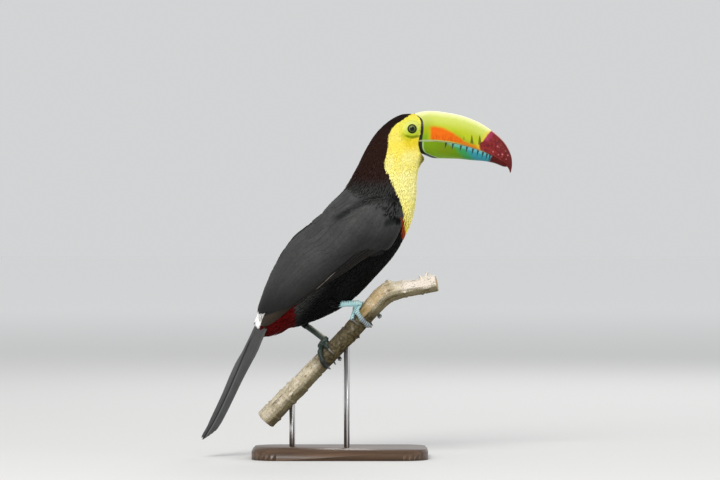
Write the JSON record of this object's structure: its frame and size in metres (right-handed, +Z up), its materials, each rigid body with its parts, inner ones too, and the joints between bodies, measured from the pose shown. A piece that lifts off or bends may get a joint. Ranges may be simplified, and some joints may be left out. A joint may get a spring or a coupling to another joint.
{
  "type": "keel-billed toucan museum model",
  "caption": "Life-size still model of a perching toucan with a large rainbow bill and a yellow bib, on a cut branch over a plain display stand.",
  "frame": {"origin": "middle of the stand base's underside, on the surface it rests on", "axes": "+Z up; +X the way the bird faces; the bird's right side is towards -Y"},
  "size_m": [0.3741, 0.13, 0.4158],
  "materials": {
    "head_plumage": "fine matt feathers, yellow face with a near-black crown",
    "neck_plumage": "matt feathers, dark maroon-black nape and a yellow bib",
    "body_plumage": "black feathers with a soft sheen, red under the tail",
    "wing_plumage": "smooth black flight feathers and coverts",
    "tail_plumage": "smooth slate-black tail feathers",
    "leg_plumage": "short black feathers",
    "bill_upper_horn": "satin horn, green with an orange flash and a maroon tip",
    "bill_lower_horn": "satin horn, green to blue with a maroon tip",
    "eye_gloss": "wet, clear gloss over an olive iris and a black pupil",
    "foot_skin": "scaly blue-grey skin",
    "claw_horn": "dark satin horn",
    "bark": "rough grey-brown bark with lichen",
    "stand_wood": "dark satin lacquer",
    "stand_steel": "brushed"
  },
  "bodies": {
    "root": {"bill_lower": "bill_lower_horn", "bill_upper": "bill_upper_horn", "claw_left_1": "claw_horn", "claw_left_2": "claw_horn", "claw_left_3": "claw_horn", "claw_left_4": "claw_horn", "claw_right_1": "claw_horn", "claw_right_2": "claw_horn", "claw_right_3": "claw_horn", "claw_right_4": "claw_horn", "eye_left": "eye_gloss", "eye_right": "eye_gloss", "head": "head_plumage", "neck": "neck_plumage", "perch": "bark", "shank_left": "foot_skin", "shank_right": "foot_skin", "stand_base": "stand_wood", "stand_rod_high": "stand_steel", "stand_rod_low": "stand_steel", "tail": "tail_plumage", "thigh_left": "leg_plumage", "thigh_right": "leg_plumage", "toe_left_1": "foot_skin", "toe_left_2": "foot_skin", "toe_left_3": "foot_skin", "toe_left_4": "foot_skin", "toe_right_1": "foot_skin", "toe_right_2": "foot_skin", "toe_right_3": "foot_skin", "toe_right_4": "foot_skin", "trunk": "body_plumage", "wing_left": "wing_plumage", "wing_right": "wing_plumage"}
  },
  "joints": []
}
